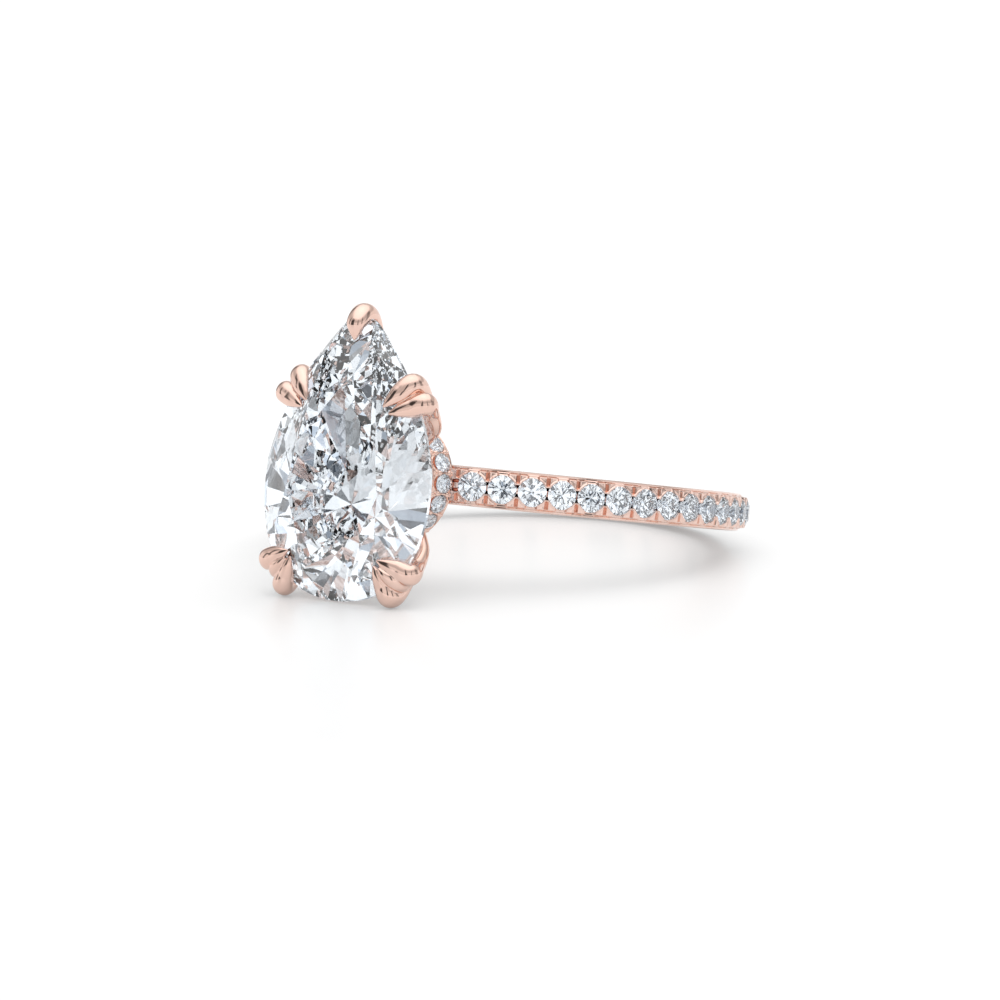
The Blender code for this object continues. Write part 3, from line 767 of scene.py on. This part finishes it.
UPPER = ((1.86, 2.88), (2.78, 3.92)), ((2.12, 2.62), (3.45, 3.16))
LOWER = ((2.18, -3.35), (3.48, -3.80)), ((2.04, -3.59), (2.64, -4.80))
UPPER_STEM = (3.02, 2.35)
LOWER_STEM = (3.00, -2.90)
for row, pair, stem, deg in (("upper", UPPER, UPPER_STEM, CLAW_ROOT_DEG),
                             ("lower", LOWER, LOWER_STEM, -CLAW_ROOT_DEG)):
    lobes = []
    for n, (tip, bulge) in enumerate(pair):
        side = 1.0 if n == 0 else -1.0
        lobes.append(lobe_knots(tip, bulge, stem, polar(deg, CLAW_ROOT_R), side,
                                CLAW_ROOT_H + 0.04 * n))
    if row == "lower":
        # metal left standing in the fork between the two lobes
        lobes.append([(2.30, -3.66, GIRDLE_H + 0.66, 0.05, 0.05), (2.60, -3.92, GIRDLE_H + 0.60, 0.20, 0.14),
                      (2.92, -4.14, GIRDLE_H + 0.34, 0.34, 0.26), (3.04, -4.22, GIRDLE_H - 0.06, 0.36, 0.32),
                      (3.03, -3.86, GIRDLE_H - 0.62, 0.34, 0.30), (3.00, -2.90, GIRDLE_H - 1.30, 0.26, 0.26)])
    me = make_claw("double_claw_%s_right" % row, lobes)
    left = mirrored_mesh(me, "double_claw_%s_left" % row)
    place("double_claw_%s_right" % row, me, HEAD, mat_claw, "rose_gold", "claw_%s_right" % row)
    place("double_claw_%s_left" % row, left, HEAD, mat_claw, "rose_gold", "claw_%s_left" % row)

tip_knots = [
    (0.0, 5.50, crown_height(0, 5.50) + 0.04, 0.05, 0.05),
    (0.0, 5.82, crown_height(0, 5.82) + 0.17, 0.28, 0.19),
    (0.0, 6.22, GIRDLE_H + 0.50, 0.45, 0.34),
    (0.0, 6.60, GIRDLE_H + 0.02, 0.50, 0.47),
    (0.0, 6.36, GIRDLE_H - 0.62, 0.42, 0.40),
    (0.0, 5.30, GIRDLE_H - 1.35, 0.30, 0.30),
    (0.0, 3.75, GIRDLE_H - 2.15, 0.26, 0.26),
    (0.0, CLAW_ROOT_R, CLAW_ROOT_H, 0.25, 0.215),
]
place("point_claw", make_claw("point_claw", [tip_knots]), HEAD, mat_claw, "rose_gold", "claw_tip")
bpy.data.objects.remove(seat_ob, do_unlink=True)


# ------------------------------------------------------------ studio
def add_floor():
    size = 0.6
    me = bpy.data.meshes.new("floor")
    me.from_pydata([(-size, -size, 0), (size, -size, 0), (size, size, 0), (-size, size, 0)], [],
                   [(0, 1, 2, 3)])
    ob = bpy.data.objects.new("floor", me)
    bpy.context.scene.collection.objects.link(ob)
    mat, nt, bsdf = new_material("studio_floor")
    coord = node(nt, "ShaderNodeTexCoord")
    grain = node(nt, "ShaderNodeTexNoise", Scale=300.0, Detail=3.0)
    nt.links.new(coord.outputs["Object"], grain.inputs["Vector"])
    tint = ramp(nt, [(0.3, (0.615, 0.615, 0.615, 1)), (0.7, (0.625, 0.625, 0.625, 1))])
    bsdf.inputs["Emission Color"].default_value = (1.0, 1.0, 1.0, 1.0)
    bsdf.inputs["Emission Strength"].default_value = 0.305      # light coming up through an opal table
    nt.links.new(grain.outputs["Fac"], tint.inputs["Fac"])
    nt.links.new(tint.outputs["Color"], bsdf.inputs["Base Color"])
    bsdf.inputs["Roughness"].default_value = 0.34
    bsdf.inputs["Specular IOR Level"].default_value = 0.35
    me.materials.append(mat)


def add_world():
    """White cyclorama; softboxes and black cards are dressed separately for the
    floor, for polished metal and for the insides of the stones."""
    world = bpy.data.worlds.new("studio")
    bpy.context.scene.world = world
    world.use_nodes = True
    nt = world.node_tree
    nt.nodes.clear()
    coord = nt.nodes.new("ShaderNodeTexCoord")
    norm = nt.nodes.new("ShaderNodeVectorMath")
    norm.operation = "NORMALIZE"
    nt.links.new(coord.outputs["Generated"], norm.inputs[0])
    split = nt.nodes.new("ShaderNodeSeparateXYZ")
    nt.links.new(norm.outputs["Vector"], split.inputs[0])

    def math_node(op, a, b=None):
        m = nt.nodes.new("ShaderNodeMath")
        m.operation = op
        for slot, value in zip(m.inputs, (a, b)):
            if value is None:
                continue
            if isinstance(value, (int, float)):
                slot.default_value = value
            else:
                nt.links.new(value, slot)
        return m.outputs["Value"]

    minus_y = math_node("MULTIPLY", split.outputs["Y"], -1.0)
    azimuth = math_node("ARCTAN2", split.outputs["X"], minus_y)          # -pi .. pi, 0 is -Y
    az01 = math_node("MULTIPLY_ADD", azimuth, 1.0 / (2 * math.pi))
    az01.node.inputs[2].default_value = 0.5
    elevation = math_node("ARCSINE", split.outputs["Z"])
    el01 = math_node("MULTIPLY", elevation, 2.0 / math.pi)                # 0 horizon, 1 zenith

    def patch(direction, inner, outer, value, prev):
        """Blend towards value inside a round patch of the sky."""
        d = Vector(direction).normalized()
        dot = nt.nodes.new("ShaderNodeVectorMath")
        dot.operation = "DOT_PRODUCT"
        dot.inputs[1].default_value = d
        nt.links.new(norm.outputs["Vector"], dot.inputs[0])
        m = nt.nodes.new("ShaderNodeMapRange")
        m.interpolation_type = "SMOOTHSTEP"
        m.inputs["From Min"].default_value = math.cos(math.radians(outer))
        m.inputs["From Max"].default_value = math.cos(math.radians(inner))
        nt.links.new(dot.outputs["Value"], m.inputs["Value"])
        mix = nt.nodes.new("ShaderNodeMix")
        mix.data_type = "FLOAT"
        nt.links.new(m.outputs["Result"], mix.inputs["Factor"])
        if isinstance(prev, float):
            mix.inputs["A"].default_value = prev
        else:
            nt.links.new(prev, mix.inputs["A"])
        mix.inputs["B"].default_value = value
        return mix.outputs["Result"]

    def stripes(source, stops, interpolation="LINEAR"):
        r = ramp(nt, [(p, (c[0], c[1], c[2], 1.0)) for p, c in stops])
        r.color_ramp.interpolation = interpolation
        nt.links.new(source, r.inputs["Fac"])
        return r.outputs["Color"]

    def blend(a, b, fac):
        mix = nt.nodes.new("ShaderNodeMix")
        mix.data_type = "RGBA"
        for socket, value in ((mix.inputs[6], a), (mix.inputs[7], b), (mix.inputs[0], fac)):
            nt.links.new(value, socket)
        return mix.outputs[2]

    # light that falls on the floor
    floor_light = FLOOR_LEVEL
    for direction, inner, outer, value in FLOOR_BOXES:
        floor_light = patch(direction, inner, outer, value, floor_light)

    # what polished metal mirrors
    g = lambda v: (v, v, v)
    metal = math_node("ADD", stripes(el01, [(e / 90.0, g(v)) for e, v in METAL_SKY]), 0.0)
    shade = math_node("ADD", stripes(az01, [((a + 180.0) / 360.0, g(v)) for a, v in METAL_CARDS_ROUND]), 0.0)
    above = nt.nodes.new("ShaderNodeMapRange")
    above.inputs["From Min"].default_value = 34.0 / 90.0
    above.inputs["From Max"].default_value = 46.0 / 90.0
    nt.links.new(el01, above.inputs["Value"])
    keep = math_node("MULTIPLY", above.outputs["Result"], math_node("SUBTRACT", 1.0, shade))
    metal = math_node("MULTIPLY", metal, math_node("ADD", shade, keep))
    for direction, inner, outer, value in METAL_CARDS:
        metal = patch(direction, inner, outer, value, metal)

    # what the facets of the stones gather
    def card_row(row):
        return stripes(az01, [((a + 180.0) / 360.0, c) for a, c in row], "CONSTANT")

    rows = [(0.0, card_row(STONE_LOW)), (STONE_SPLIT[0], card_row(STONE_MID)),
            (STONE_SPLIT[1], card_row(STONE_HIGH))]
    stone = rows[0][1]
    for height, row in rows[1:]:
        m = nt.nodes.new("ShaderNodeMapRange")
        m.inputs["From Min"].default_value = height / 90.0 - 0.01
        m.inputs["From Max"].default_value = height / 90.0 + 0.01
        nt.links.new(el01, m.inputs["Value"])
        stone = blend(stone, row, m.outputs["Result"])
    boost = nt.nodes.new("ShaderNodeVectorMath")
    boost.operation = "SCALE"
    boost.inputs["Scale"].default_value = STONE_GAIN
    nt.links.new(stone, boost.inputs[0])

    path = nt.nodes.new("ShaderNodeLightPath")
    lit = blend(floor_light, metal, path.outputs["Is Glossy Ray"])
    lit = blend(lit, boost.outputs["Vector"], path.outputs["Is Transmission Ray"])
    bg = nt.nodes.new("ShaderNodeBackground")
    nt.links.new(lit, bg.inputs["Color"])
    bg.inputs["Strength"].default_value = 1.0
    plain = nt.nodes.new("ShaderNodeBackground")
    plain.inputs["Color"].default_value = (1, 1, 1, 1)
    plain.inputs["Strength"].default_value = 1.0
    mix = nt.nodes.new("ShaderNodeMixShader")
    nt.links.new(path.outputs["Is Camera Ray"], mix.inputs["Fac"])
    nt.links.new(bg.outputs["Background"], mix.inputs[1])
    nt.links.new(plain.outputs["Background"], mix.inputs[2])
    out = nt.nodes.new("ShaderNodeOutputWorld")
    nt.links.new(mix.outputs["Shader"], out.inputs["Surface"])


def sky(az, el):
    """Direction at an azimuth (0 = -Y, 90 = +X) and elevation in degrees."""
    a, e = math.radians(az), math.radians(el)
    return (math.sin(a) * math.cos(e), -math.cos(a) * math.cos(e), math.sin(e))


FLOOR_LEVEL = 0.80
FLOOR_BOXES = [
    (sky(135, 77), 8, 50, 2.0),       # overhead softbox
]
METAL_SKY = [(0.0, 0.95), (16.0, 0.98), (24.0, 0.62), (38.0, 0.70), (52.0, 1.35), (90.0, 1.65)]
# upright black cards round the ring, azimuth and brightness
METAL_CARDS_ROUND = [(-180, 1.0), (-128, 1.0), (-122, 0.35), (-108, 0.35), (-102, 1.0), (-70, 1.0),
                     (-66, 0.15), (-62, 0.15), (-58, 1.0), (-48, 1.0), (-42, 0.08), (-20, 0.08),
                     (-14, 0.95), (16, 1.0), (20, 0.12), (25, 0.12), (29, 1.0), (62, 1.0),
                     (66, 0.15), (71, 0.15), (76, 1.0), (104, 0.9), (110, 0.40), (124, 0.40),
                     (130, 1.0), (180, 1.0)]
METAL_CARDS = []
WHITE = (1.0, 1.0, 1.0)
PALE = (0.66, 0.72, 0.80)
MIDDLE = (0.30, 0.335, 0.38)
DARK = (0.045, 0.055, 0.070)
BLACK = (0.004, 0.006, 0.009)
STONE_SPLIT = (22.0, 50.0)
STONE_GAIN = 1.42
STONE_LOW = [(-180, WHITE), (-150, DARK), (-142, PALE), (-118, WHITE), (-96, MIDDLE), (-88, DARK),
             (-78, WHITE), (-62, BLACK), (-52, PALE), (-44, WHITE), (-34, DARK), (-28, WHITE),
             (-20, BLACK), (-14, WHITE), (-6, MIDDLE), (0, WHITE), (8, DARK), (14, WHITE),
             (24, BLACK), (38, WHITE), (50, DARK), (58, WHITE), (72, BLACK), (82, PALE), (94, WHITE),
             (108, DARK), (116, WHITE), (134, MIDDLE), (146, WHITE), (160, BLACK), (168, WHITE)]
STONE_MID = [(-180, PALE), (-158, WHITE), (-128, DARK), (-118, WHITE), (-86, PALE), (-72, BLACK),
             (-62, MIDDLE), (-52, WHITE), (-38, DARK), (-30, WHITE), (-22, PALE), (-14, BLACK),
             (-6, WHITE), (4, DARK), (9, WHITE), (22, MIDDLE), (30, DARK), (40, WHITE), (54, BLACK),
             (64, PALE), (78, WHITE), (90, DARK), (100, WHITE), (150, MIDDLE)]
STONE_HIGH = [(-180, WHITE), (-140, MIDDLE), (-126, WHITE), (-74, DARK), (-60, WHITE), (-4, BLACK),
              (6, WHITE), (58, DARK), (70, WHITE), (110, BLACK), (122, WHITE)]


def add_cards():
    """Dark cards lying round the front of the ring, seen only inside the stones."""
    bm = bmesh.new()
    for a0, a1, r0, r1 in ((-80, -70, 14, 120), (-46, -36, 16, 120), (-20, -12, 14, 120),
                           (4, 10, 14, 60), (18, 30, 16, 150), (40, 50, 14, 120),
                           (62, 72, 16, 120), (88, 98, 20, 120)):
        quad = []
        for a, r in ((a0, r0), (a1, r0), (a1, r1), (a0, r1)):
            a = math.radians(a)
            quad.append(bm.verts.new((r * math.sin(a), -7.0 - r * math.cos(a), 0.25)))
        bm.faces.new(quad)
    # narrow strips fanned out behind the head
    for k in range(15):
        a0 = 100.0 + k * 10.5 + 2.0 * math.sin(k * 2.3)
        quad = []
        for a, r in ((a0, 2.0), (a0 + 4.2, 2.0), (a0 + 4.2, 70.0), (a0, 70.0)):
            a = math.radians(a)
            quad.append(bm.verts.new((r * math.sin(a), -9.0 - r * math.cos(a), 0.06)))
        bm.faces.new(quad)
    me = mesh_from(bm, "cards")
    mat, nt, bsdf = new_material("black_card")
    coord = node(nt, "ShaderNodeTexCoord")
    grain = node(nt, "ShaderNodeTexNoise", Scale=400.0, Detail=3.0)
    nt.links.new(coord.outputs["Object"], grain.inputs["Vector"])
    tint = ramp(nt, [(0.3, (0.04, 0.045, 0.055, 1)), (0.7, (0.06, 0.068, 0.08, 1))])
    nt.links.new(grain.outputs["Fac"], tint.inputs["Fac"])
    nt.links.new(tint.outputs["Color"], bsdf.inputs["Base Color"])
    bsdf.inputs["Roughness"].default_value = 0.8
    me.materials.append(mat)
    ob = bpy.data.objects.new("cards", me)
    bpy.context.scene.collection.objects.link(ob)
    ob.visible_camera = False
    ob.visible_diffuse = False
    ob.visible_glossy = False
    ob.visible_shadow = False
    ob.visible_volume_scatter = False


add_cards()
add_floor()
add_world()


# the camera stands off the right shoulder, a little above the floor
CAM_LENS = 145.8000
CAM_MATRIX = Matrix((
    (0.85095177, -0.08716694, 0.51796043, 0.09136131),
    (0.52524280, 0.14317038, -0.83882194, -0.14674637),
    (-0.00103905, 0.98585200, 0.16761489, 0.03195750),
    (0.00000000, 0.00000000, 0.00000000, 1.00000000),
))
cam_data = bpy.data.cameras.new("camera")
cam = bpy.data.objects.new("camera", cam_data)
bpy.context.scene.collection.objects.link(cam)
cam_data.sensor_width = 36.0
cam_data.lens = CAM_LENS
cam_data.clip_start = 0.001
cam_data.clip_end = 10.0
cam.matrix_world = CAM_MATRIX
bpy.context.scene.camera = cam

bpy.context.scene.view_settings.view_transform = "Standard"
bpy.context.scene.cycles.max_bounces = 40
bpy.context.scene.cycles.transmission_bounces = 36
bpy.context.scene.cycles.glossy_bounces = 16
bpy.context.scene.cycles.diffuse_bounces = 0
